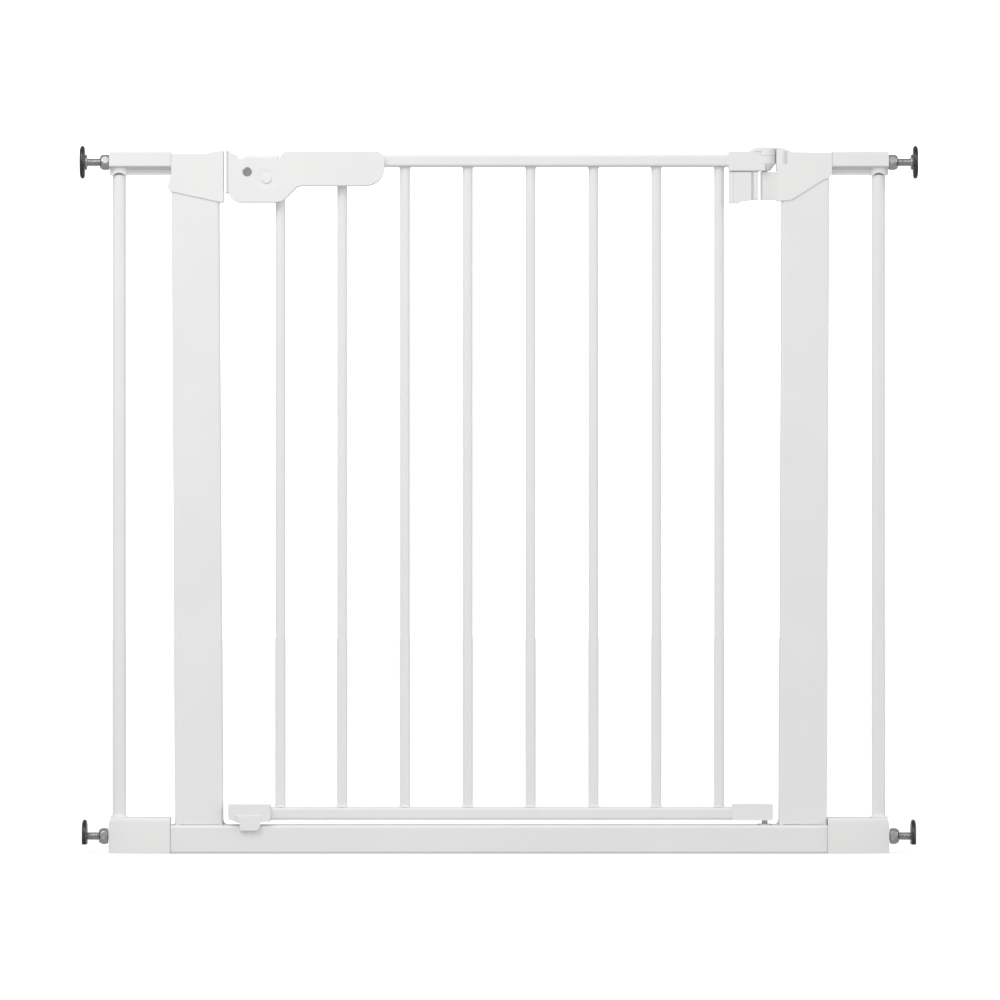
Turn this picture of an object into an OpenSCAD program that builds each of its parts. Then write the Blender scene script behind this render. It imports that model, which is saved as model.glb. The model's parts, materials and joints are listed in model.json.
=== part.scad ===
// Pressure-fit safety gate: a U-frame with a lift-and-swing barred door, a side extension on
// each side and four screw spindles that press wall pads against the door opening.
// Frame: +X along the gate (latch side negative, hinge side positive), -Y to the front,
// +Z up, origin on the floor under the middle of the bottom rail. Millimetres.

/* [Frame] */
// Length of the bottom rail between the two extension bases
rail_len = 681.2; // [675:0.2:690]
// Height of the bottom rail
rail_h = 29.4; // [28:0.2:30]
// Depth of the bottom rail, front to back
rail_d = 34; // [30:0.5:38]
// Face width of each upright
upright_w = 49.5; // [46:0.5:50]
// Depth of each upright
upright_d = 25; // [22:0.5:26]
// Outward lean of the latch-side upright before the gate is clamped, in degrees
latch_splay = 0.34; // [0:0.02:0.4]
// Outward lean of the hinge-side upright before the gate is clamped, in degrees
hinge_splay = 0.24; // [0:0.02:0.3]
// Wall of the steel tubes
tube_wall = 1.5; // [1:0.1:2]
// Height of the plastic caps' top face above the floor
cap_top = 727; // [726.5:0.5:728]
// Depth of the plastic caps, front to back
cap_d = 27.4; // [27:0.2:30]

/* [Extensions] */
// Distance from the middle of the gate to the centre of an extension post
post_x = 394; // [388:0.5:396]
// Diameter of an extension post
post_dia = 13.8; // [10:0.2:14]
// Length of an extension outside the frame
extension_len = 64.8; // [62:0.2:66]
// Height of an extension base
base_h = 37; // [35:0.5:38]
// Depth of an extension top tube
ext_tube_d = 26; // [22:0.5:27]
// Wall of the round bars and posts
bar_wall = 1.2; // [0.8:0.1:2]

/* [Spindles] */
// Height of the upper spindles
upper_spindle_z = 717; // [716:0.5:718]
// Height of the lower spindles
lower_spindle_z = 17.7; // [17:0.1:19]
// Nominal thread diameter of a spindle
thread_dia = 8; // [6:1:8]
// Length of a spindle rod
rod_len = 110; // [100:5:115]
// Radius of a wall pad
pad_r = 17.2; // [16:0.1:18]
// Distance from the middle of the gate to the outer face of the upper pads
pad_reach = 434.8; // [434:0.2:440]

/* [Door] */
// Distance from the middle of the gate to the hinge axis
hinge_x = 275.8; // [275:0.1:276.5]
// Diameter of a bar
bar_dia = 10.4; // [8:0.2:11]
// Distance between the centres of two bars
bar_pitch = 65.2; // [64:0.1:65.3]
// Position of the first bar, next to the latch
first_bar_x = -226.8; // [-227:0.1:-225]
// Position of the second bar, under the grip
second_bar_x = -162.7; // [-163:0.1:-161]
// Height of the door's top and bottom rails
door_rail_h = 13; // [12:0.1:13.2]
// Depth of the door's top and bottom rails
door_rail_d = 18; // [14:0.5:18]
// Underside of the door's bottom rail
door_bottom = 34.8; // [34.4:0.1:35.2]
// Underside of the door's top rail
door_top = 712.2; // [712:0.1:712.6]
// How far the door lifts off its stop
door_lift = 9; // [8:0.5:9]

/* [Handle] */
// Length of the handle
handle_len = 162; // [158:0.5:165]
// Depth of the handle, front to back
handle_d = 28; // [26:0.5:30]
// Diameter of the steel rivet in the handle
rivet_dia = 9.6; // [6:0.2:10]
// Diameter of the white lock button
button_dia = 9.4; // [6:0.2:10]
// How far the thumb slider and the bolt travel
latch_travel = 6.5; // [5:0.1:6.5]

/* [Hidden] */
$fn = 48;

fit = 0.2;                 // assembly gap between pieces that are fixed together
run = 0.06;                // radial running clearance of a shaft in a bore
white = [0.93, 0.93, 0.92];
moulded = [0.95, 0.95, 0.94];
zinc = [0.62, 0.62, 0.63];

half_rail = rail_len / 2;
weld_leg = 2.8;            // leg of the fillet on the outer side of an upright's foot
door_weld_leg = 4.4;       // leg of the fillet on the side towards the door
upright_top = 702;
latch_foot_x = 311;        // centre of the latch upright's foot, from the middle
hinge_foot_x = 315.2;      // centre of the hinge upright's foot, from the middle

latch_cap_out = -339.8;    // outer face of the latch cap
latch_cap_in = -285.4;     // inner face of the latch cap, towards the door
hinge_cap_in = hinge_x + 12.6;
hinge_cap_out = 345.2;
cap_screw_z = 708;
latch_screw_x = -300;
hinge_screw_x = 303;

ext_out = half_rail + extension_len;
tube_out = ext_out - 1.2;  // outer end of a top tube
ext_tube_top = 728;
ext_box_h = 16;            // height of the top tube's box section
ext_web_h = 8;             // height of the web under the box section
ext_tube_under = ext_tube_top - ext_box_h - ext_web_h;
tongue_end = 308;          // inner end of the top tube's tongue, inside the cap
bell_r = 9.5;              // radius of the bell round a post's foot

thread_r = thread_dia / 2;
nut_len = 9.4;
nut_r = 8.9;

pin_r = 3;
knuckle_r = 6;
knuckle_z0 = 677.6;
arm_z0 = 708;              // underside of the upper hinge arm, above the fixed knuckle
arm_z1 = 728;
knuckle_z1 = arm_z0 - 1;
arm_d = 21.6;              // depth of the upper hinge arm
barrel_r = 11.5;           // radius of the arm's round end
cone_r = 5.6;              // radius to which the round end narrows at its foot
cone_h = 7.6;
dome_r = 11.6;             // radius of the hinge cover beside the guard
guard_r = 11.9;            // radius from the hinge axis to the guard
shoe_z0 = 34.3;            // underside of the lower hinge shoe

handle_left = -280.7;
handle_z0 = 675.4;
handle_h = 52.6;
slider_floor = 44.8;       // height of the slider's track above the handle's underside
rivet_u = 19.8;
rivet_w = 31.3;
button_u = 40;
button_w = 24;
button_travel = 2.5;
bolt_z0 = 712.6;
bolt_h = 5.2;
bolt_d = 10;
end_plate_t = 2.6;

// ---------------------------------------------------------------- helpers

// Rounded rectangle centred on the origin
module round_rect(w, h, r) {
    square([w - 2 * r, h], center = true);
    square([w, h - 2 * r], center = true);
    for (x = [-1, 1], y = [-1, 1])
        translate([x * (w / 2 - r), y * (h / 2 - r)]) circle(r);
}

// Points of an arc from angle a0 to a1
function arc(cx, cy, r, a0, a1, n = 8) =
    [for (i = [0 : n]) let (a = a0 + (a1 - a0) * i / n) [cx + r * cos(a), cy + r * sin(a)]];

// Extrudes an outline drawn in X and Z from y0 to y1
module along_y(y0, y1) {
    translate([0, y1, 0]) rotate([90, 0, 0]) linear_extrude(y1 - y0) children();
}

// Extrudes an outline drawn in Y and Z from x0 to x1
module along_x(x0, x1) {
    translate([x0, 0, 0]) rotate([90, 0, 90]) linear_extrude(x1 - x0) children();
}

module rod_x(x0, x1, r, z) {
    translate([x0, 0, z]) rotate([0, 90, 0]) cylinder(r = r, h = x1 - x0);
}

module rod_y(x, z, r, y0, y1) {
    translate([x, y1, z]) rotate([90, 0, 0]) cylinder(r = r, h = y1 - y0);
}

// Draws its children on the left side of the gate, or mirrored to the right side
module on_side(side) {
    mirror([side == "right" ? 1 : 0, 0, 0]) children();
}

// ---------------------------------------------------------------- frame

module bottom_rail() {
    color(white) difference() {
        along_x(-half_rail, half_rail) translate([0, rail_h / 2]) difference() {
            round_rect(rail_d, rail_h, 3);
            round_rect(rail_d - 2 * tube_wall, rail_h - 2 * tube_wall, 2);
        }
        translate([hinge_x, 0, rail_h / 2]) cylinder(r = 6 + run, h = rail_h);
    }
}

// Outline of an upright's section, grown by g on each side
module upright_section(g = 0) { round_rect(upright_w + 2 * g, upright_d + 2 * g, 3); }

// Places its children at an upright's foot, leaning like the upright
module at_foot(foot_x, lean) {
    translate([foot_x, 0, rail_h]) rotate([0, lean, 0]) children();
}

// One upright: a flat rectangular tube that leans outward by a fraction of a degree
module upright(foot_x, lean) {
    color(white) difference() {
        at_foot(foot_x, lean) translate([0, 0, -1]) linear_extrude(upright_top - rail_h + 1)
            difference() {
                upright_section();
                round_rect(upright_w - 2 * tube_wall, upright_d - 2 * tube_wall, 2);
            }
        translate([foot_x - 40, -20, rail_h - 10]) cube([80, 40, 10]);
        // recessed seam over the rail, front and back
        for (turn = [0, 1]) mirror([0, turn, 0])
            translate([foot_x - 20.5, upright_d / 2 - 0.9, rail_h - 1]) cube([41, 2, 2]);
    }
}

// The two concave weld fillets between an upright's sides and the rail
module foot_welds(foot_x) {
    edge = upright_w / 2 + 0.1;
    depth = upright_d / 2 - 3;
    color(white) intersection() {
        for (side = [0, 1]) let (leg = (side == 0) == (foot_x < 0) ? door_weld_leg : weld_leg)
            translate([foot_x, 0, rail_h]) mirror([side, 0, 0])
                along_y(-depth, depth) polygon(concat([[edge, 0], [edge + leg, 0]],
                    arc(edge + leg, leg, leg - 0.3, 270, 180), [[edge, leg]]));
        translate([-half_rail, -depth, rail_h]) cube([rail_len, 2 * depth, door_weld_leg + 1]);
    }
}

// Box section of an extension top tube, grown by g on each side
module ext_box(g = 0) {
    translate([0, ext_tube_top - ext_box_h / 2])
        round_rect(ext_tube_d + 2 * g, ext_box_h + 2 * g, 1.6);
}

// Web under the box section, with a bead along each side
module ext_web(g = 0) {
    bead = ext_tube_under + ext_web_h * 0.45;
    translate([-4 - g, ext_tube_under - g]) square([8 + 2 * g, ext_web_h + 0.3 + g]);
    translate([-5.2 - g, bead - g]) square([10.4 + 2 * g, 1.4 + 2 * g]);
}

// Top tube of an extension: a hollow box over a web, with a bored tongue that enters the cap;
// the bore for the spindle also grooves the box's floor
module extension_tube(side) {
    cap_face = (side == "left" ? -latch_cap_out : hinge_cap_out) + fit;
    end_wall = 3;
    color(white) on_side(side) {
        difference() {
            union() {
                along_x(-tube_out, -cap_face) ext_box();
                along_x(-cap_face - 1, -tongue_end) tongue_section();
            }
            along_x(-ext_out - 1, -cap_face - end_wall) ext_box(-tube_wall);
            rod_x(-ext_out - 1, -tongue_end + 1, thread_r + 0.4, upper_spindle_z);
        }
        along_x(-tube_out, -cap_face) ext_web();
    }
}

// Section of the tongue at the inner end of a top tube
module tongue_section(g = 0) {
    translate([0, ext_tube_top - ext_box_h / 2 - 3]) round_rect(18 + 2 * g, 12 + 2 * g, 2);
}

// End plug of a top tube, with the hole that guides the spindle
module tube_plug(side) {
    color(moulded) on_side(side) difference() {
        along_x(-tube_out, -tube_out + 16) ext_box(-tube_wall - 0.1);
        rod_x(-tube_out - 1, -tube_out + 17, thread_r + 0.3, upper_spindle_z);
    }
}

// Round post between the base and the web of the top tube
module extension_post(side) {
    foot = base_h - 8;
    color(white) on_side(side) translate([-post_x, 0, foot]) difference() {
        cylinder(r = post_dia / 2, h = ext_tube_under - foot - 0.1);
        translate([0, 0, -1]) cylinder(r = post_dia / 2 - bar_wall, h = ext_tube_under);
    }
}

// Saddle round the post's top, arched at the front and back, and bell round its foot
module post_ferrules(side) {
    bore = post_dia / 2 + 0.1;
    saddle_r = 9.4;
    color(moulded) on_side(side) translate([-post_x, 0, 0]) {
        difference() {
            translate([0, 0, ext_tube_under - 0.6]) cylinder(r = saddle_r, h = ext_web_h + 0.5);
            along_x(-12, 12) ext_web(0.1);
            translate([0, 0, ext_tube_under - 4]) cylinder(r = bore, h = 12);
            rod_y(0, ext_tube_under - 5.4, 7.4, -12, 12);
        }
        translate([0, 0, bell_foot()]) rotate_extrude() polygon([[bore, 0], [bell_r, 0],
            [bell_r, 4.3], [8.4, 5], [7.4, 6.4], [6.9, 8], [bore, 8]]);
    }
}

// Height of the seat that the bell stands in, sunk into the base's bevel
function bell_foot() = base_h - 4;

// Disc with a steep bevel round its top, one of the two that bound a base in plan
module base_disc(r, bevel) {
    rotate_extrude($fn = 96) polygon([[0, 0], [r, 0], [r, base_h - bevel],
        [r - 0.4 * bevel, base_h], [0, base_h]]);
}

// Base of an extension: bowed front and back, bevelled on top, with a spigot into the rail
module extension_base(side) {
    base_d = rail_d + 4;
    end_d = 18;
    bevel = 5.5;
    sag = (base_d - end_d) / 2;
    bow = (extension_len * extension_len + sag * sag) / (2 * sag);
    in_x = half_rail + 0.2;
    spigot_end = half_rail - 30;
    color(moulded) on_side(side) difference() {
        union() {
            intersection() {
                translate([-in_x, -base_d / 2 + bow, 0]) base_disc(bow, bevel);
                translate([-in_x, base_d / 2 - bow, 0]) base_disc(bow, bevel);
                base_ends(in_x);
            }
            along_x(-in_x - 1, -spigot_end) translate([0, rail_h / 2])
                round_rect(rail_d - 2 * tube_wall - 0.4, rail_h - 2 * tube_wall - 0.4, 1.8);
        }
        rod_x(-ext_out - 1, -spigot_end + 1, thread_r + 0.4, lower_spindle_z);
        translate([-post_x, 0, base_h - 8.2]) cylinder(r = post_dia / 2 + 0.1, h = 10);
        translate([-post_x, 0, bell_foot() - 0.1]) cylinder(r = bell_r + 0.1, h = 10);
    }
}

// Side view of a base: upright joint to the rail and a clipped outer corner
module base_ends(in_x) {
    clip = 7;
    along_y(-60, 60) polygon([[-in_x, 0], [-in_x, base_h], [-ext_out + 2.6, base_h],
        [-ext_out + 0.5, base_h - clip], [-ext_out + 0.5, 0]]);
}

// ---------------------------------------------------------------- caps

// Latch cap on top of the latch-side upright, with a raised lip towards the door
module latch_cap() {
    x0 = latch_cap_out;
    x1 = latch_cap_in;
    foot_z = handle_z0;
    color(moulded) difference() {
        along_y(-cap_d / 2, cap_d / 2) polygon([[x0, cap_top - 1.6], [x0 + 37, cap_top - 1.4],
            [x0 + 42, cap_top], [x1 - 1, cap_top + 2], [x1, cap_top + 1.4], [x1, foot_z],
            [x1 - 4.4, foot_z], [x0 + 1, foot_z + 10.8], [x0 - 2.4, foot_z + 12],
            [x0 - 3.6, foot_z + 13.6], [x0 - 3.6, foot_z + 18.6], [x0 - 1.8, foot_z + 20.6],
            [x0 - 1.5, foot_z + 26.4], [x0, foot_z + 28]]);
        at_foot(-latch_foot_x, -latch_splay)
            linear_extrude(upright_top - rail_h + 0.4) upright_section(fit);
        along_x(x0 - 4, -tongue_end + fit) tongue_section(fit);
        keeper_recess();
        translate([x1 - 6.5, -6, bolt_z0 - 1.2]) cube([7, 12, bolt_h + 2.4]);
        screw_hole(latch_screw_x);
    }
}

module keeper_recess() {
    translate([latch_cap_in - 1.7, -9.2, bolt_z0 - 6.2]) cube([2, 18.4, bolt_h + 12.4]);
}

// Steel plate let into the latch cap, with the window that the bolt enters
module latch_keeper() {
    color(zinc) difference() {
        translate([latch_cap_in - 1.6, -9, bolt_z0 - 6]) cube([1.6, 18, bolt_h + 12]);
        translate([latch_cap_in - 2, -5.6, bolt_z0 - 0.8]) cube([3, 11.2, bolt_h + 1.6]);
    }
}

// Pilot hole in the back of a cap, in the solid block beside the tongue
module screw_hole(x) { rod_y(x, cap_screw_z, 1.9, 3, cap_d / 2 + 1); }

// Hinge cap on top of the hinge-side upright, with the fixed knuckle and the guard
module hinge_cap() {
    x0 = hinge_cap_in;
    x1 = hinge_cap_out;
    color(moulded) difference() {
        union() {
            along_y(-cap_d / 2, cap_d / 2) polygon([[x0, cap_top + 0.5],
                [x1, cap_top - 0.4], [x1, 704], [x1 - 2, 700.5], [x1 - 9, 698.4],
                [x0 + 14.4, 677.6], [x0, 676.4]]);
            fixed_knuckle();
            guard();
        }
        // flute that parts the guard from the cap's front and back faces
        for (turn = [0, 1]) mirror([0, turn, 0]) translate([hinge_x, 0, 714.5])
            linear_extrude(20) polygon([[14, -16], [14.5, -14.9], [18.5, -13.6], [22.6, -9.6],
                [23.4, -9.6], [23.4, -16]]);
        translate([hinge_x, 0, knuckle_z0 - 1]) cylinder(r = pin_r + run, h = 40);
        at_foot(hinge_foot_x, hinge_splay)
            linear_extrude(upright_top - rail_h + 0.4) upright_section(fit);
        along_x(tongue_end - fit, x1 + 4) tongue_section(fit);
        screw_hole(hinge_screw_x);
    }
}

// Arm of the hinge cap that carries the door's upper pin, flattened towards the door
module fixed_knuckle() {
    flat = 4.4;
    h = knuckle_z1 - knuckle_z0;
    intersection() {
        translate([hinge_x, 0, knuckle_z0]) cylinder(r = knuckle_r, h = h);
        translate([hinge_x - flat, -knuckle_r, knuckle_z0]) cube([20, 2 * knuckle_r, h]);
    }
    translate([hinge_x, -knuckle_r, knuckle_z0]) cube([15, 2 * knuckle_r, h]);
}

// Boss beside the hinge cover, its top a continuation of the cover's dome
module guard() {
    intersection() {
        translate([hinge_x, 0, 0]) rotate_extrude($fn = 96) polygon([[guard_r, arm_z0 + 1],
            [guard_r, 732.4], [16.2, 732.2], [19.3, 731.4], [22.5, 730.3], [25.6, 728.8],
            [27.8, 727.4], [27.8, arm_z0 + 1]]);
        translate([hinge_x + guard_r, -cap_d / 2, arm_z0]) cube([20, cap_d, 30]);
    }
}

// Pan-head screws in the back of both caps
module cap_screws() {
    back = cap_d / 2;
    color(zinc) for (x = [latch_screw_x, hinge_screw_x]) {
        difference() {
            rod_y(x, cap_screw_z, 3.6, back + 0.05, back + 2.2);
            rod_y(x, cap_screw_z, 1.6, back + 1.2, back + 3);
        }
        rod_y(x, cap_screw_z, 1.8, 3.4, back + 0.1);
    }
}

// ---------------------------------------------------------------- lower hinge

// Flanged bush in the rail, in which the lower pin turns
module lower_hinge_bush() {
    color(moulded) translate([hinge_x, 0, 0]) difference() {
        union() {
            translate([0, 0, 12]) cylinder(r = 6, h = rail_h - 12 + 0.5);
            translate([0, 0, rail_h + 0.1]) cylinder(r = 7.5, h = 1);
        }
        translate([0, 0, 14]) cylinder(r = pin_r + run, h = rail_h);
    }
}

// Pin that still holds the shoe by a few millimetres when the door is lifted
module lower_hinge_pin() {
    z0 = 14.2;
    color(zinc) translate([hinge_x, 0, z0])
        cylinder(r = pin_r, h = shoe_z0 + door_lift + 3.5 - z0);
}

// ---------------------------------------------------------------- door

module door_rail(z, x0, x1) {
    color(white) along_x(x0, x1) translate([0, z + door_rail_h / 2]) difference() {
        round_rect(door_rail_d, door_rail_h, 3);
        round_rect(door_rail_d - 2.4, door_rail_h - 2.4, 1.8);
    }
}

module door_top_rail() { door_rail(door_top, handle_left + 62, hinge_x - 14); }

module door_bottom_rail() { door_rail(door_bottom, -262, 262); }

// Bar number i, welded between the two door rails or up into the handle
module door_bar(i) {
    z0 = door_bottom + door_rail_h;
    h = (i == 1 ? handle_z0 + 17 : door_top) - z0;
    color(white) translate([bar_x(i), 0, z0]) difference() {
        cylinder(r = bar_dia / 2, h = h);
        translate([0, 0, -1]) cylinder(r = bar_dia / 2 - bar_wall, h = h + 2);
    }
}

function bar_x(i) = i == 1 ? first_bar_x : second_bar_x + (i - 2) * bar_pitch;

// Arm on the hinge end of the top rail, with the leg beside the fixed knuckle
module upper_hinge_arm() {
    x0 = 238.3;
    leg_x1 = hinge_x - 6.4;
    leg_d = arm_d - 3;
    groove = 2.6;
    color(moulded) difference() {
        union() {
            translate([x0, -arm_d / 2, arm_z0]) cube([hinge_x - x0, arm_d, arm_z1 - arm_z0]);
            translate([hinge_x, 0, arm_z0]) {
                cylinder(r1 = cone_r, r2 = barrel_r, h = cone_h);
                translate([0, 0, cone_h]) cylinder(r = barrel_r, h = arm_z1 - arm_z0 - cone_h);
            }
            along_y(-leg_d / 2, leg_d / 2) polygon([[x0, arm_z0 + 1], [x0, 674.4],
                [x0 + 10.6, 674.4], [x0 + 14.8, 677.2], [leg_x1, 677.8], [leg_x1, arm_z0 + 1]]);
        }
        for (y = [-leg_d / 2 - 1, leg_d / 2 - groove]) {
            // groove that divides the leg's front and back faces
            translate([x0 + 23.5, y, 670]) cube([2.4, groove + 1, arm_z0 - 670]);
            // shadow gap under the arm
            translate([x0 - 1, y, arm_z0 - 1.4]) cube([leg_x1 - x0 + 2, groove + 1, 1.4]);
        }
        // fine line down the leg's front and back faces
        for (y = [-leg_d / 2 - 1, leg_d / 2 - 0.5])
            translate([x0 + 4.6, y, 670]) cube([1, 1.5, arm_z0 - 670]);
        along_x(x0 - 1, hinge_x - 13.8) translate([0, door_top + door_rail_h / 2])
            round_rect(door_rail_d + 0.3, door_rail_h + 0.3, 3);
        translate([hinge_x, 0, arm_z0 - 1]) cylinder(r = pin_r + 0.05, h = arm_z1 - arm_z0);
        // seat for the skirt of the hinge cover
        translate([hinge_x, 0, cover_z0() - 0.1]) cylinder(r = dome_r + 0.3, h = 10);
    }
}

// Lower edge of the hinge cover's skirt
function cover_z0() = arm_z1 - 4.3;

module upper_hinge_pin() {
    color(zinc) translate([hinge_x, 0, 681]) cylinder(r = pin_r, h = cover_z0() - 681.2);
}

// Cover over the upper pin: a round skirt let into the arm under a domed head
module hinge_dome() {
    head_z = arm_z1 + 0.1;
    rear = 15.7;
    half_d = dome_r - 0.2;
    color(moulded) translate([hinge_x, 0, 0]) {
        translate([0, 0, cover_z0()]) cylinder(r = dome_r, h = head_z - cover_z0() + 0.1);
        intersection() {
            translate([0, 0, head_z]) rotate_extrude($fn = 96) polygon([[0, 0], [rear, 0],
                [rear - 1, 1.9], [11.5, 3.3], [8.4, 4.1], [4, 4.5], [0, 4.6]]);
            union() {
                translate([0, 0, head_z]) cylinder(r = dome_r, h = 10);
                translate([-rear, -half_d, head_z]) cube([rear, 2 * half_d, 10]);
            }
        }
    }
}

// Shoe on the hinge end of the bottom rail, with the blind bore for the lower pin
module lower_hinge_shoe() {
    x0 = 242;
    x1 = hinge_x + 8.2;
    shoe_d = 20;
    top = shoe_z0 + 16.2;
    color(moulded) difference() {
        along_y(-shoe_d / 2, shoe_d / 2) polygon(concat(
            [[x0, shoe_z0 + 0.4], [x0 + 3, shoe_z0]],
            arc(x1 - 2.5, shoe_z0 + 2.5, 2.5, -90, 0, 4),
            [[x1, top], [x0 + 1, top], [x0, top - 0.6]]));
        along_x(x0 - 1, 262.2) translate([0, door_bottom + door_rail_h / 2])
            round_rect(door_rail_d + 0.3, door_rail_h + 0.3, 3);
        translate([hinge_x, 0, shoe_z0 - 1]) cylinder(r = pin_r + run, h = door_lift + 5);
    }
}

// Shoe on the latch end of the bottom rail: its front tongue stops the door against the rail
module latch_shoe() {
    x0 = -280.6;
    x1 = -237;
    top = 50.2;
    front = -rail_d / 2 - 4.2;
    tongue_x0 = -268.6;
    tongue_x1 = -247.2;
    tongue_z = 24;
    tongue_top = 39.5;
    color(moulded) difference() {
        union() {
            along_y(front + 1.2, 10) polygon([[x1, top], [x0, top], [x0, 37], [x0 + 1.2, 35.6],
                [tongue_x0, 31.6], [tongue_x1 - 1, 31.6], [tongue_x1 + 1, 33.2], [x1, 33.2]]);
            along_y(front, -rail_d / 2 - 0.8) polygon(concat([[tongue_x0 - 4, tongue_top]],
                [[tongue_x0, 31.6]], arc(tongue_x0 + 2.5, tongue_z + 2.5, 2.5, 180, 270, 5),
                arc(tongue_x1 - 6, tongue_z + 6, 6, -90, 0, 6), [[tongue_x1, tongue_top]]));
        }
        along_x(-262.2, x1 + 1) translate([0, door_bottom + door_rail_h / 2])
            round_rect(door_rail_d + 0.3, door_rail_h + 0.3, 3);
    }
}

// ---------------------------------------------------------------- handle

// Side outline of the handle: u runs from its latch end, w up from its underside
module handle_outline() {
    top = handle_h;
    grip_w = 17.1;
    polygon(concat(
        [[0, top + 0.6], [9.2, top - 4.6], [9.2, slider_floor], [53.4, slider_floor],
         [54.2, top - 4.4], [58.6, top - 0.4], [78, top]],
        arc(handle_len - 9, top - 9, 9, 90, 0),
        arc(handle_len - 20, grip_w + 20, 20, 0, -90, 12),
        arc(76.4, grip_w - 10, 10, 90, 135, 5),
        arc(49.4, 14, 14, -45, -90, 5),
        arc(12, 12, 12, -90, -180)));
}

// Everything taken out of the handle: mechanism chamber, rail channel, bar sockets, slots
module handle_hollow() {
    wall = 2.6;
    half = handle_d / 2 - wall;
    u0 = handle_left;
    // chamber for the bolt, its spring and the button
    translate([u0 - 1, -bolt_d / 2 - 0.2, bolt_z0 - 0.2])
        cube([61, bolt_d + 0.4, bolt_h + 0.4]);
    // chamber beneath it
    translate([u0 + wall, -half, handle_z0 + wall + 9])
        cube([49, 2 * half, bolt_z0 - handle_z0 - wall - 9]);
    // slot for the slider's stem
    translate([u0 + 24 - latch_travel, -2.2, bolt_z0 + bolt_h])
        cube([12 + latch_travel + 0.5, 4.4, 10]);
    // channel for the top rail
    along_x(u0 + 61.8, u0 + handle_len + 1) translate([0, door_top + door_rail_h / 2])
        round_rect(door_rail_d + 0.3, door_rail_h + 0.3, 3);
    // sockets for the first two bars
    translate([first_bar_x, 0, handle_z0 - 5]) cylinder(r = bar_dia / 2 + 0.15, h = 22.2);
    translate([second_bar_x, 0, handle_z0]) cylinder(r = bar_dia / 2 + 0.15, h = 42);
    rod_y(u0 + rivet_u, handle_z0 + rivet_w, rivet_dia / 2 + 0.05, -20, 20);
    rod_y(u0 + button_u, handle_z0 + button_w, button_dia / 2 + run, -20, -handle_d / 2 + 8);
    // shallow finger dish round the button
    dish_r = 12.4;
    dish = 0.9;
    ball = (dish_r * dish_r + dish * dish) / (2 * dish);
    translate([u0 + button_u, -handle_d / 2 + dish - ball, handle_z0 + button_w])
        sphere(r = ball, $fn = 120);
    for (p = handle_screw_places())
        rod_y(u0 + p[0], handle_z0 + p[1], 1.9, -6, 20);
}

function handle_screw_places() = [[64, 28], [104, 28], [140, 28]];

module handle_shell(y0, y1) {
    color(moulded) difference() {
        translate([handle_left, 0, handle_z0]) along_y(y0, y1) handle_outline();
        handle_hollow();
    }
}

module handle_front_shell() { handle_shell(-handle_d / 2, -0.05); }

module handle_rear_shell() { handle_shell(0.05, handle_d / 2); }

// Plate that closes the handle's latch end, with the window for the bolt
module handle_end_plate() {
    x1 = handle_left - 0.3;
    color(moulded) difference() {
        translate([x1 - end_plate_t, -13, 684.8]) cube([end_plate_t, 26, 44.3]);
        translate([x1 - end_plate_t - 1, -bolt_d / 2 - 0.2, bolt_z0 - 0.2])
            cube([end_plate_t + 2, bolt_d + 0.4, bolt_h + 0.4]);
    }
}

// Screws that hold the two shells together, let in from the back
module handle_screws() {
    color(zinc) for (p = handle_screw_places())
        translate([handle_left + p[0], 0, handle_z0 + p[1]]) {
            rod_y(0, 0, 1.8, -5.8, handle_d / 2 + 0.1);
            difference() {
                rod_y(0, 0, 3.4, handle_d / 2 + 0.05, handle_d / 2 + 1.8);
                rod_y(0, 0, 1.4, handle_d / 2 + 1, handle_d / 2 + 2);
            }
        }
}

// Steel rivet through both shells, just proud of the front
module handle_rivet() {
    color(zinc) rod_y(handle_left + rivet_u, handle_z0 + rivet_w, rivet_dia / 2,
        -handle_d / 2 - 0.5, handle_d / 2 + 0.5);
}

// Steel bolt that shoots through the end plate into the keeper
module latch_bolt() {
    color(zinc) translate([handle_left - end_plate_t, -bolt_d / 2, bolt_z0])
        cube([47.4, bolt_d, bolt_h]);
}

// Slider on top of the handle, its stem standing on the bolt
module thumb_slider() {
    len = 36.2;
    u0 = handle_left + 16.1;
    z0 = handle_z0 + slider_floor + 0.25;
    color(moulded) {
        difference() {
            translate([u0, -9, z0]) cube([len, 18, 3.9]);
            for (i = [0 : 4])
                translate([u0 + 12 + 3 * i, -10, z0 + 3.4]) cube([1, 20, 1]);
        }
        translate([handle_left + 24.4, -2, bolt_z0 + bolt_h])
            cube([11.2, 4, z0 - bolt_z0 - bolt_h]);
    }
}

// Point i of the spring's wire: ring centre at turn t, wire angle b
function coil_point(t, b, r, wire, pitch) =
    [pitch * t + wire * sin(b), (r + wire * cos(b)) * cos(360 * t), (r + wire * cos(b)) * sin(360 * t)];

// Compression spring behind the bolt
module latch_spring() {
    turns = 6;
    steps = 14;
    sides = 6;
    rings = turns * steps;
    pts = [for (i = [0 : rings]) for (k = [0 : sides - 1])
        coil_point(i / steps, 360 * k / sides, 1.9, 0.35, 1.5)];
    walls = [for (i = [0 : rings - 1]) for (k = [0 : sides - 1])
        let (a = i * sides + k, b = i * sides + (k + 1) % sides)
        [a, b, b + sides, a + sides]];
    ends = [[for (k = [sides - 1 : -1 : 0]) k], [for (k = [0 : sides - 1]) rings * sides + k]];
    color(zinc) translate([handle_left + 45.6, 0, bolt_z0 + bolt_h / 2])
        polyhedron(points = pts, faces = concat(walls, ends), convexity = 10);
}

module lock_button() {
    front = -handle_d / 2 - 0.6;
    color(moulded) rod_y(handle_left + button_u, handle_z0 + button_w, button_dia / 2,
        front, -2 - button_travel);
}

// ---------------------------------------------------------------- spindles

pad_t = 5.4;               // thickness of a pad
lower_pad_out = pad_reach - 2.3;

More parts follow.
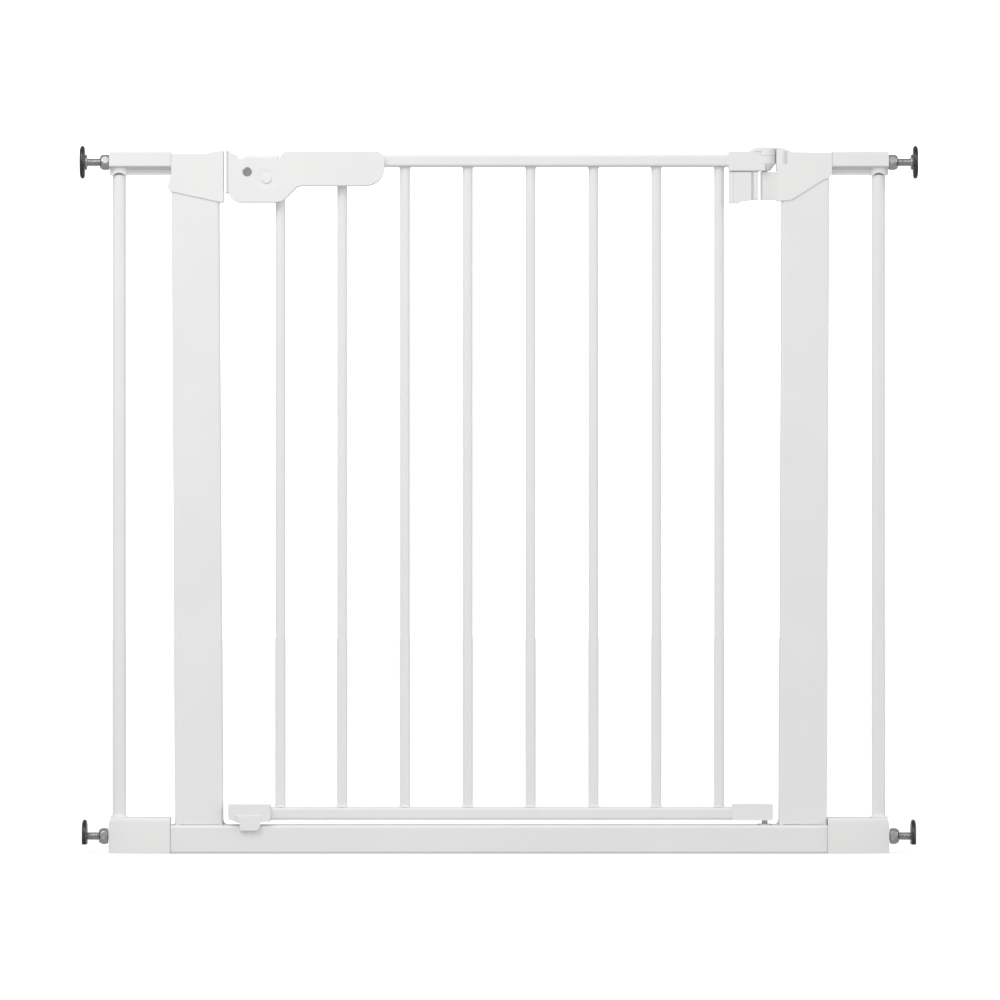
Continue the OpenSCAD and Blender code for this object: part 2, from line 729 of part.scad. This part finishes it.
// Round wall pad with its flat face outward; a lower pad is cut flat above the floor
module pad(x, z, cut) {
    color(zinc) translate([x, 0, z]) rotate([0, 90, 0]) difference() {
        rotate_extrude($fn = 64) polygon([[0, 0], [pad_r - 3, 0], [pad_r - 0.9, 0.7],
            [pad_r, 2], [pad_r, 3.3], [pad_r - 0.9, 4.6], [pad_r - 3.4, 5.2],
            [9.6, pad_t], [0, pad_t]]);
        if (cut) translate([pad_r - 8.8, -30, -1]) cube([20, 60, 20]);
    }
}

module rod(x0, z) {
    color(zinc) rod_x(x0, x0 + rod_len, thread_r, z);
}

// Hexagonal nut against a tube or base that ends at seat, domed towards the pad; one flat
// is turned upward from the front by turn degrees
module nut(seat, z, turn) {
    color(zinc) translate([-seat - nut_len - 0.3, 0, z]) rotate([0, 90, 0]) difference() {
        intersection() {
            rotate([0, 0, 30 + turn]) cylinder(r = nut_r, h = nut_len, $fn = 6);
            translate([0, 0, nut_len - 3.8]) sphere(r = 8.4, $fn = 64);
        }
        translate([0, 0, -1]) cylinder(r = thread_r + run, h = nut_len + 2);
    }
}

module upper_nut(side) {
    on_side(side) nut(tube_out, upper_spindle_z, 11);
}

module lower_nut(side) {
    on_side(side) nut(ext_out, lower_spindle_z, 19);
}

module upper_pad(side) {
    on_side(side) pad(-pad_reach, upper_spindle_z, false);
}

module lower_pad(side) {
    on_side(side) pad(-lower_pad_out, lower_spindle_z, true);
}

module upper_rod(side) {
    on_side(side) rod(-pad_reach + pad_t, upper_spindle_z);
}

module lower_rod(side) {
    on_side(side) rod(-lower_pad_out + pad_t, lower_spindle_z);
}

module upper_washer(side) {
    color(zinc) on_side(side) difference() {
        rod_x(-pad_reach + pad_t + 0.1, -pad_reach + pad_t + 2.1, 7.8, upper_spindle_z);
        rod_x(-pad_reach, -pad_reach + 20, thread_r + run, upper_spindle_z);
    }
}

// ---------------------------------------------------------------- nodes

bottom_rail();
upright(-latch_foot_x, -latch_splay);  // left_upright
upright(hinge_foot_x, hinge_splay);  // right_upright
foot_welds(-latch_foot_x);  // left_foot_welds
foot_welds(hinge_foot_x);  // right_foot_welds
latch_cap();
latch_keeper();
hinge_cap();
cap_screws();
lower_hinge_bush();
extension_tube("left");  // left_extension_tube
extension_tube("right");  // right_extension_tube
tube_plug("left");  // left_tube_plug
tube_plug("right");  // right_tube_plug
extension_post("left");  // left_extension_post
extension_post("right");  // right_extension_post
post_ferrules("left");  // left_post_ferrules
post_ferrules("right");  // right_post_ferrules
extension_base("left");  // left_extension_base
extension_base("right");  // right_extension_base
lower_hinge_pin();
door_top_rail();
door_bottom_rail();
door_bar(1);  // door_bar_1
door_bar(2);  // door_bar_2
door_bar(3);  // door_bar_3
door_bar(4);  // door_bar_4
door_bar(5);  // door_bar_5
door_bar(6);  // door_bar_6
door_bar(7);  // door_bar_7
door_bar(8);  // door_bar_8
upper_hinge_arm();
upper_hinge_pin();
hinge_dome();
lower_hinge_shoe();
latch_shoe();
handle_front_shell();
handle_rear_shell();
handle_end_plate();
handle_screws();
handle_rivet();
latch_spring();
thumb_slider();
latch_bolt();
lock_button();
upper_rod("left");  // upper_left_rod
upper_pad("left");  // upper_left_pad
upper_washer("left");  // upper_left_washer
upper_nut("left");  // upper_left_nut
upper_rod("right");  // upper_right_rod
upper_pad("right");  // upper_right_pad
upper_washer("right");  // upper_right_washer
upper_nut("right");  // upper_right_nut
lower_rod("left");  // lower_left_rod
lower_pad("left");  // lower_left_pad
lower_nut("left");  // lower_left_nut
lower_rod("right");  // lower_right_rod
lower_pad("right");  // lower_right_pad
lower_nut("right");  // lower_right_nut
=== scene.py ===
"""Looks of the pressure-fit safety gate: finishes, rounded edges, threads, welds, studio and camera."""
import json
import math

import bmesh
import bpy
from mathutils import Matrix, Vector, noise


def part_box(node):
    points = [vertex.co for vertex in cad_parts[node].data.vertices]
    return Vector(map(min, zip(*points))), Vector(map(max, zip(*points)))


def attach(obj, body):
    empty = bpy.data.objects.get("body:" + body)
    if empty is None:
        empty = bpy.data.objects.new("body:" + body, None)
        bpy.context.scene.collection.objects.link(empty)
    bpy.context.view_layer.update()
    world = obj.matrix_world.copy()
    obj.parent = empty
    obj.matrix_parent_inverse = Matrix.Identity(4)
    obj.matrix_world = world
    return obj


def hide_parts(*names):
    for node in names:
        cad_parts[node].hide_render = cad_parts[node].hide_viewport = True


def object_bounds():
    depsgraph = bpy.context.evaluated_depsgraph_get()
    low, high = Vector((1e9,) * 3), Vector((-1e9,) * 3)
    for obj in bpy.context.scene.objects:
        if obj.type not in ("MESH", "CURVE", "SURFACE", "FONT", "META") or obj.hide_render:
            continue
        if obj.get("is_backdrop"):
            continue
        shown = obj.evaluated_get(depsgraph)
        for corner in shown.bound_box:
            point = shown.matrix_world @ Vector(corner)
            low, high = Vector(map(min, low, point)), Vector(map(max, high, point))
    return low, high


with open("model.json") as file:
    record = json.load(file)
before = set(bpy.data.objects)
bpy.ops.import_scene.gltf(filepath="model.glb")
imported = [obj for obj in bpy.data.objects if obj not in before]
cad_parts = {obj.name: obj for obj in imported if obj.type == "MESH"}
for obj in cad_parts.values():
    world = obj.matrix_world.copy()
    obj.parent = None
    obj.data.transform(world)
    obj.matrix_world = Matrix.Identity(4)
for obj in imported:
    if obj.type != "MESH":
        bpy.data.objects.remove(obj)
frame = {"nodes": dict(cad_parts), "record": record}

NODES = frame["nodes"]
RECORD = frame["record"]
BODY_OF = {n: body for body, names in RECORD["behaviour"]["bodies"].items() for n in names}
SLOT_OF = {s["node"]: s["material_slot"] for s in RECORD["subparts"]}
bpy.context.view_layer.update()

MM = 0.001
THREAD_PITCH = 1.25 * MM
THREAD_DEPTH = 0.5 * MM
CAMERA_DISTANCE = 9.0
PICTURE_WIDTH = 1.1936     # width of the view at the gate, in gate widths
METALS = ("zinc_steel", "bright_steel")

# Sockets of a colour Mix node, whose names repeat for every data type
MIX_FACTOR, MIX_A, MIX_B, MIX_RESULT = 0, 6, 7, 2


# ---------------------------------------------------------------- materials

def new_material(name):
    """A material with a Principled shader; returns it with its node tree and that shader."""
    mat = bpy.data.materials.new(name)
    mat.use_nodes = True
    tree = mat.node_tree
    return mat, tree, tree.nodes["Principled BSDF"]


def add_node(tree, kind, **settings):
    made = tree.nodes.new(kind)
    for key, value in settings.items():
        if key in made.inputs:
            made.inputs[key].default_value = value
        else:
            setattr(made, key, value)
    return made


def noise_at(tree, scale, detail=3.0, roughness=0.5, stretch=(1, 1, 1)):
    """Noise in the object's own metres, so that a scale of 1000 has features about 1 mm across."""
    coords = add_node(tree, "ShaderNodeTexCoord")
    mapping = add_node(tree, "ShaderNodeMapping", Scale=stretch)
    tex = add_node(tree, "ShaderNodeTexNoise", Scale=scale, Detail=detail, Roughness=roughness)
    tree.links.new(coords.outputs["Object"], mapping.inputs["Vector"])
    tree.links.new(mapping.outputs["Vector"], tex.inputs["Vector"])
    return tex.outputs["Fac"]


def remap(tree, value, low, high):
    """Stretches a 0.3 to 0.7 noise value over low to high."""
    made = add_node(tree, "ShaderNodeMapRange")
    made.inputs["From Min"].default_value = 0.3
    made.inputs["From Max"].default_value = 0.7
    made.inputs["To Min"].default_value = low
    made.inputs["To Max"].default_value = high
    tree.links.new(value, made.inputs["Value"])
    return made.outputs["Result"]


def blend_colours(tree, factor, colour_a, colour_b):
    made = add_node(tree, "ShaderNodeMix", data_type="RGBA")
    made.inputs[MIX_A].default_value = (*colour_a, 1)
    made.inputs[MIX_B].default_value = (*colour_b, 1)
    tree.links.new(factor, made.inputs[MIX_FACTOR])
    return made.outputs[MIX_RESULT]


def add_bumps(tree, shader, layers):
    """Stacks bump layers, each a (height, distance in metres, strength)."""
    normal = None
    for height, distance, strength in layers:
        bump = add_node(tree, "ShaderNodeBump", Strength=strength, Distance=distance)
        tree.links.new(height, bump.inputs["Height"])
        if normal is not None:
            tree.links.new(normal, bump.inputs["Normal"])
        normal = bump.outputs["Normal"]
    tree.links.new(normal, shader.inputs["Normal"])


def edge_mask(tree, radius):
    """1 on edges and corners, 0 on open faces: how far a rounded normal leans from the true one."""
    rounded = add_node(tree, "ShaderNodeBevel", samples=4, Radius=radius)
    geometry = add_node(tree, "ShaderNodeNewGeometry")
    dot = add_node(tree, "ShaderNodeVectorMath", operation="DOT_PRODUCT")
    tree.links.new(rounded.outputs["Normal"], dot.inputs[0])
    tree.links.new(geometry.outputs["Normal"], dot.inputs[1])
    span = add_node(tree, "ShaderNodeMapRange")
    span.inputs["From Min"].default_value = 0.99
    span.inputs["From Max"].default_value = 0.75
    tree.links.new(dot.outputs["Value"], span.inputs["Value"])
    return span.outputs["Result"]


def wear_edges(tree, shader, body, worn, radius):
    """Colours the shader with body, and with the worn colour over edges and corners."""
    mix = add_node(tree, "ShaderNodeMix", data_type="RGBA")
    tree.links.new(edge_mask(tree, radius), mix.inputs[MIX_FACTOR])
    tree.links.new(body, mix.inputs[MIX_A])
    mix.inputs[MIX_B].default_value = (*worn, 1)
    tree.links.new(mix.outputs[MIX_RESULT], shader.inputs["Base Color"])


def powder_coat():
    """White powder coat on steel: faint orange peel, thinner and a touch darker over edges."""
    mat, tree, shader = new_material("powder_coat")
    tone = remap(tree, noise_at(tree, 14, 2), 0.0, 1.0)
    body = blend_colours(tree, tone, (0.85, 0.85, 0.846), (0.83, 0.83, 0.83))
    wear_edges(tree, shader, body, (0.78, 0.78, 0.78), 0.8 * MM)
    tree.links.new(remap(tree, noise_at(tree, 260, 4), 0.34, 0.46), shader.inputs["Roughness"])
    shader.inputs["Specular IOR Level"].default_value = 0.4
    add_bumps(tree, shader, [(noise_at(tree, 620, 2), 0.05 * MM, 0.35),
                             (noise_at(tree, 2600, 3), 0.01 * MM, 0.3)])
    return mat


def moulded_white():
    """White moulded plastic: fine spark-eroded grain with a soft sheen and slow flow marks."""
    mat, tree, shader = new_material("moulded_white")
    flow = remap(tree, noise_at(tree, 22, 3, 0.55, (1, 1, 0.4)), 0.0, 1.0)
    tint = blend_colours(tree, flow, (0.855, 0.855, 0.848), (0.835, 0.835, 0.83))
    tree.links.new(tint, shader.inputs["Base Color"])
    tree.links.new(remap(tree, noise_at(tree, 900, 4), 0.36, 0.5), shader.inputs["Roughness"])
    shader.inputs["Specular IOR Level"].default_value = 0.45
    add_bumps(tree, shader, [(noise_at(tree, 3400, 4, 0.65), 0.014 * MM, 0.5),
                             (noise_at(tree, 40, 2), 0.08 * MM, 0.12)])
    return mat


def zinc_steel():
    """Zinc plating on pressed steel, its colour painted very dark: a painted dark reflection in place
    of dark surroundings. Fine lay marks, passivation clouds, rubbed edges.
    """
    mat, tree, shader = new_material("zinc_steel")
    cloud = remap(tree, noise_at(tree, 320, 5, 0.6), 0.0, 1.0)
    # Painted dark reflection: a base of 0.05 to 0.09 stands in for dark surroundings mirrored in the
    # shiny plating, and the clouds vary it at random
    tint = blend_colours(tree, cloud, (0.085, 0.087, 0.09), (0.05, 0.051, 0.054))
    wear_edges(tree, shader, tint, (0.16, 0.16, 0.165), 0.4 * MM)
    shader.inputs["Metallic"].default_value = 1.0
    tree.links.new(remap(tree, noise_at(tree, 700, 4), 0.13, 0.22), shader.inputs["Roughness"])
    add_bumps(tree, shader, [(noise_at(tree, 1500, 3, 0.5, (6, 1, 1)), 0.012 * MM, 0.35)])
    return mat


def bright_steel():
    """Bright steel with fine turning marks: spindles, nuts, pins, bolt, keeper and screws."""
    mat, tree, shader = new_material("bright_steel")
    cloud = remap(tree, noise_at(tree, 260, 4, 0.6), 0.0, 1.0)
    tint = blend_colours(tree, cloud, (0.52, 0.52, 0.53), (0.4, 0.4, 0.41))
    wear_edges(tree, shader, tint, (0.3, 0.3, 0.31), 0.5 * MM)
    shader.inputs["Metallic"].default_value = 1.0
    tree.links.new(remap(tree, noise_at(tree, 900, 4), 0.22, 0.36), shader.inputs["Roughness"])
    add_bumps(tree, shader, [(noise_at(tree, 1800, 3, 0.5, (1, 1, 6)), 0.012 * MM, 0.4)])
    return mat


def spring_steel():
    """Dark drawn wire with lengthwise scratches."""
    mat, tree, shader = new_material("spring_steel")
    cloud = remap(tree, noise_at(tree, 800, 3), 0.0, 1.0)
    tree.links.new(blend_colours(tree, cloud, (0.3, 0.3, 0.31), (0.2, 0.2, 0.21)),
                   shader.inputs["Base Color"])
    shader.inputs["Metallic"].default_value = 1.0
    tree.links.new(remap(tree, noise_at(tree, 1200, 3), 0.25, 0.4), shader.inputs["Roughness"])
    add_bumps(tree, shader, [(noise_at(tree, 4000, 2), 0.006 * MM, 0.3)])
    return mat


def pale_floor():
    """Matt white light table: an almost even tone with a faint glow of its own."""
    mat, tree, shader = new_material("pale_floor")
    tone = remap(tree, noise_at(tree, 1.5, 3), 0.0, 1.0)
    tree.links.new(blend_colours(tree, tone, (0.93, 0.93, 0.93), (0.915, 0.915, 0.915)),
                   shader.inputs["Base Color"])
    tree.links.new(remap(tree, noise_at(tree, 60, 3), 0.8, 0.9), shader.inputs["Roughness"])
    shader.inputs["Specular IOR Level"].default_value = 0.1
    shader.inputs["Emission Color"].default_value = (1, 1, 1, 1)
    shader.inputs["Emission Strength"].default_value = 0.45
    add_bumps(tree, shader, [(noise_at(tree, 300, 3), 0.05 * MM, 0.2)])
    return mat


MATERIALS = {
    "powder_coat": powder_coat(),
    "moulded_white": moulded_white(),
    "zinc_steel": zinc_steel(),
    "bright_steel": bright_steel(),
    "spring_steel": spring_steel(),
}


# ---------------------------------------------------------------- CAD nodes

def finish_node(name, rounding):
    """Gives a CAD node its slot's finish and breaks its sharp edges by rounding millimetres."""
    obj = NODES[name]
    obj.data.materials.clear()
    obj.data.materials.append(MATERIALS[SLOT_OF[name]])
    obj.data.polygons.foreach_set("use_smooth", [True] * len(obj.data.polygons))
    weld = obj.modifiers.new("weld", "WELD")
    weld.merge_threshold = 0.004 * MM
    flat = obj.modifiers.new("flatten", "DECIMATE")
    flat.decimate_type = "DISSOLVE"
    flat.angle_limit = math.radians(0.6)
    if rounding:
        bevel = obj.modifiers.new("round", "BEVEL")
        bevel.width = rounding * MM
        bevel.segments = 3
        bevel.limit_method = "ANGLE"
        bevel.angle_limit = math.radians(32)
    normals = obj.modifiers.new("normals", "WEIGHTED_NORMAL")
    normals.keep_sharp = False
    normals.weight = 60


# Radius in millimetres where a node's edges differ from the usual 0.6, or 0.35 on metal
ROUNDING = {
    "handle_front_shell": 1.2, "handle_rear_shell": 1.2, "latch_cap": 1.0, "hinge_cap": 1.0,
    "upper_hinge_arm": 1.0, "latch_shoe": 1.0, "lower_hinge_shoe": 1.0, "thumb_slider": 0.5,
    "left_extension_base": 1.2, "right_extension_base": 1.2, "latch_keeper": 0.2,
    "latch_spring": 0, "hinge_dome": 0.4, "left_foot_welds": 0, "right_foot_welds": 0,
    "left_post_ferrules": 0.3, "right_post_ferrules": 0.3, "handle_rivet": 0.5,
}


def finish_cad_nodes():
    for name in NODES:
        rounding = ROUNDING.get(name, 0.35 if SLOT_OF[name] in METALS else 0.6)
        finish_node(name, rounding)


# ---------------------------------------------------------------- mesh helpers

def mesh_piece(name, verts, faces, material, body):
    """A smooth mesh object in the shared frame that rides on a body."""
    mesh = bpy.data.meshes.new(name)
    mesh.from_pydata(verts, [], faces)
    mesh.validate()
    bm = bmesh.new()
    bm.from_mesh(mesh)
    bmesh.ops.recalc_face_normals(bm, faces=bm.faces)
    bm.to_mesh(mesh)
    bm.free()
    mesh.polygons.foreach_set("use_smooth", [True] * len(mesh.polygons))
    mesh.materials.append(MATERIALS[material])
    obj = bpy.data.objects.new(name, mesh)
    bpy.context.scene.collection.objects.link(obj)
    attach(obj, body)
    return obj


def loft(rings, closed_ends=True):
    """Faces and vertices of a skin over equal-length rings of points."""
    count = len(rings[0])
    verts = [p for ring in rings for p in ring]
    faces = []
    for r in range(len(rings) - 1):
        for k in range(count):
            nxt = (k + 1) % count
            faces.append((r * count + k, r * count + nxt, (r + 1) * count + nxt, (r + 1) * count + k))
    if closed_ends:
        faces.append(tuple(reversed(range(count))))
        faces.append(tuple((len(rings) - 1) * count + k for k in range(count)))
    return verts, faces


# ---------------------------------------------------------------- spindles

def threaded_rod(node):
    """A cut thread in place of a plain rod: the radius follows a helix of the thread's pitch."""
    low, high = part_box(node)
    axis_y, axis_z = (low.y + high.y) / 2, (low.z + high.z) / 2
    outer = (high.z - low.z) / 2
    steps_per_turn, around = 8, 28
    taper_steps, taper = 8, 0.5 * MM     # lead-in at both ends
    steepness = 3.8                      # of the thread's flanks, with a flat crest between
    count = round((high.x - low.x) / THREAD_PITCH * steps_per_turn)
    rings = []
    for i in range(count + 1):
        x = low.x + (high.x - low.x) * i / count
        lead = min(1.0, (i + 1) / taper_steps, (count - i + 1) / taper_steps)
        ring = []
        for k in range(around):
            turn = k / around
            phase = ((x - low.x) / THREAD_PITCH - turn) % 1.0
            crest = min(1.0, max(0.0, steepness / 2 - steepness * abs(phase - 0.5)))
            r = outer - THREAD_DEPTH * (1 - crest) - taper * (1 - lead)
            a = 2 * math.pi * turn
            ring.append((x, axis_y + r * math.cos(a), axis_z + r * math.sin(a)))
        rings.append(ring)
    verts, faces = loft(rings)
    rod = mesh_piece(node + "_thread", verts, faces, SLOT_OF[node], BODY_OF[node])
    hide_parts(node)


# ---------------------------------------------------------------- welds

def weld_bead(name, x, z, bar_r, up, seed):
    """A small painted fillet round a bar where it meets a rail; its foot wanders a little."""
    around, steps = 40, 6
    reach, waver, sink = 2.9 * MM, 0.35 * MM, 0.2 * MM
    rings = []
    for s in range(steps + 1):
        t = math.pi / 2 * s / steps
        ring = []
        for k in range(around):
            a = 2 * math.pi * k / around
            wander = waver * noise.noise(Vector((3 * math.cos(a), 3 * math.sin(a), seed)))
            out = bar_r - sink + (reach + wander) * (1 - math.sin(t))
            rise = (reach + wander) * (1 - math.cos(t)) + 0.02 * MM
            ring.append((x + out * math.cos(a), out * math.sin(a), z + up * rise))
        rings.append(ring)
    verts, faces = loft(rings, closed_ends=False)
    return mesh_piece(name, verts, faces, "powder_coat", "door")


def weld_beads():
    """Beads at the foot of every bar, and at the head of those that meet the open top rail."""
    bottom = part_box("door_bottom_rail")[1].z
    top_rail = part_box("door_top_rail")[0]
    handle_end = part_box("handle_front_shell")[1].x
    bars = sorted(n for n in NODES if n.startswith("door_bar_"))
    for i, bar in enumerate(bars):
        low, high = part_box(bar)
        x, r = (low.x + high.x) / 2, (high.x - low.x) / 2
        weld_bead(f"weld_foot_{i + 1}", x, bottom, r, 1, i)
        if x > handle_end:
            weld_bead(f"weld_head_{i + 1}", x, top_rail.z, r, -1, i + 20)


# ---------------------------------------------------------------- studio

def area_light(name, place, target, size, power):
    lamp = bpy.data.lights.new(name, "AREA")
    lamp.shape = "RECTANGLE"
    lamp.size, lamp.size_y = size
    lamp.energy = power
    obj = bpy.data.objects.new(name, lamp)
    obj.location = place
    obj.rotation_mode = "QUATERNION"
    obj.rotation_quaternion = (Vector(target) - Vector(place)).to_track_quat("-Z", "Y")
    bpy.context.scene.collection.objects.link(obj)


def studio_world(upper, lower):
    """Even surroundings: one strength above the horizon and one below, blended softly."""
    world = bpy.data.worlds.new("studio")
    bpy.context.scene.world = world
    world.use_nodes = True
    tree = world.node_tree
    back = tree.nodes["Background"]
    coords = add_node(tree, "ShaderNodeTexCoord")
    split = add_node(tree, "ShaderNodeSeparateXYZ")
    span = add_node(tree, "ShaderNodeMapRange")
    span.inputs["From Min"].default_value = -0.15
    span.inputs["From Max"].default_value = 0.15
    span.inputs["To Min"].default_value = lower
    span.inputs["To Max"].default_value = upper
    tree.links.new(coords.outputs["Generated"], split.inputs["Vector"])
    tree.links.new(split.outputs["Z"], span.inputs["Value"])
    tree.links.new(span.outputs["Result"], back.inputs["Strength"])
    back.inputs["Color"].default_value = (1, 1, 1, 1)


def soft_sun(name, towards, angle, strength):
    """A broad distant light that shines from the given direction."""
    lamp = bpy.data.lights.new(name, "SUN")
    lamp.energy = strength
    lamp.angle = math.radians(angle)
    obj = bpy.data.objects.new(name, lamp)
    obj.rotation_mode = "QUATERNION"
    obj.rotation_quaternion = (-Vector(towards)).to_track_quat("-Z", "Y")
    bpy.context.scene.collection.objects.link(obj)


def camera_only(obj):
    """The stage is seen but throws no light or shadow on the gate."""
    obj.visible_diffuse = False
    obj.visible_glossy = False
    obj.visible_transmission = False
    obj.visible_shadow = False
    obj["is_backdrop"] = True


def stage_sheet(name, corner, across, up, steps, material):
    """A flat sheet of steps by steps panels, spanned by two edges from a corner."""
    verts = [Vector(corner) + Vector(across) * (i / steps) + Vector(up) * (j / steps)
             for j in range(steps + 1) for i in range(steps + 1)]
    row = steps + 1
    faces = [(r * row + c, r * row + c + 1, (r + 1) * row + c + 1, (r + 1) * row + c)
             for r in range(steps) for c in range(steps)]
    mesh = bpy.data.meshes.new(name)
    mesh.from_pydata([tuple(v) for v in verts], [], faces)
    mesh.materials.append(material)
    obj = bpy.data.objects.new(name, mesh)
    bpy.context.scene.collection.objects.link(obj)
    camera_only(obj)


def white_backdrop():
    """Evenly lit white cloth far behind the gate."""
    mat, tree, shader = new_material("white_backdrop")
    tone = remap(tree, noise_at(tree, 0.6, 2), 0.0, 1.0)
    tree.links.new(blend_colours(tree, tone, (0.9, 0.9, 0.9), (0.88, 0.88, 0.88)),
                   shader.inputs["Base Color"])
    shader.inputs["Roughness"].default_value = 0.9
    shader.inputs["Emission Color"].default_value = (1, 1, 1, 1)
    shader.inputs["Emission Strength"].default_value = 1.1
    return mat


def studio_floor():
    half = 14.0
    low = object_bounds()[0].z - 0.2 * MM
    stage_sheet("studio_floor", (-half, -half, low), (2 * half, 0, 0), (0, 2 * half, 0), 12,
                pale_floor())
    stage_sheet("studio_backdrop", (-half, half, low), (2 * half, 0, 0), (0, 0, half), 4,
                white_backdrop())


def front_camera():
    """Long lens, square on to the gate at about half its height."""
    low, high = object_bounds()
    width = (high.x - low.x) * PICTURE_WIDTH
    data = bpy.data.cameras.new("front_camera")
    data.sensor_width = 36.0
    data.lens = data.sensor_width * CAMERA_DISTANCE / width
    data.clip_end = 200
    cam = bpy.data.objects.new("front_camera", data)
    cam.location = (1.1 * MM, -CAMERA_DISTANCE, (low.z + high.z) / 2 - 0.6 * MM)
    cam.rotation_euler = (math.radians(90), 0, 0)
    bpy.context.scene.collection.objects.link(cam)
    bpy.context.scene.camera = cam


def studio():
    scene = bpy.context.scene
    scene.view_settings.view_transform = "Standard"
    scene.view_settings.look = "None"
    studio_world(0.495, 0.512)
    soft_sun("front_top", (0, -0.75, 1), 50, 0.2)
    soft_sun("front_low", (-0.3, -1, -0.5), 50, 0.15)
    soft_sun("side_right", (1, -0.3, 0.3), 50, 0.86)
    soft_sun("side_left", (-1, -0.35, 0.35), 50, 0.33)
    area_light("key_high", (-1.2, -1.4, 2.2), (0, 0, 0.4), (1.0, 1.0), 20)
    area_light("front_strip", (0, -2.3, 1.75), (0, 0, 0.4), (3.2, 0.07), 8)
    studio_floor()


# ---------------------------------------------------------------- build

finish_cad_nodes()
for rod_node in [n for n in NODES if n.endswith("_rod")]:
    threaded_rod(rod_node)
weld_beads()
front_camera()
studio()
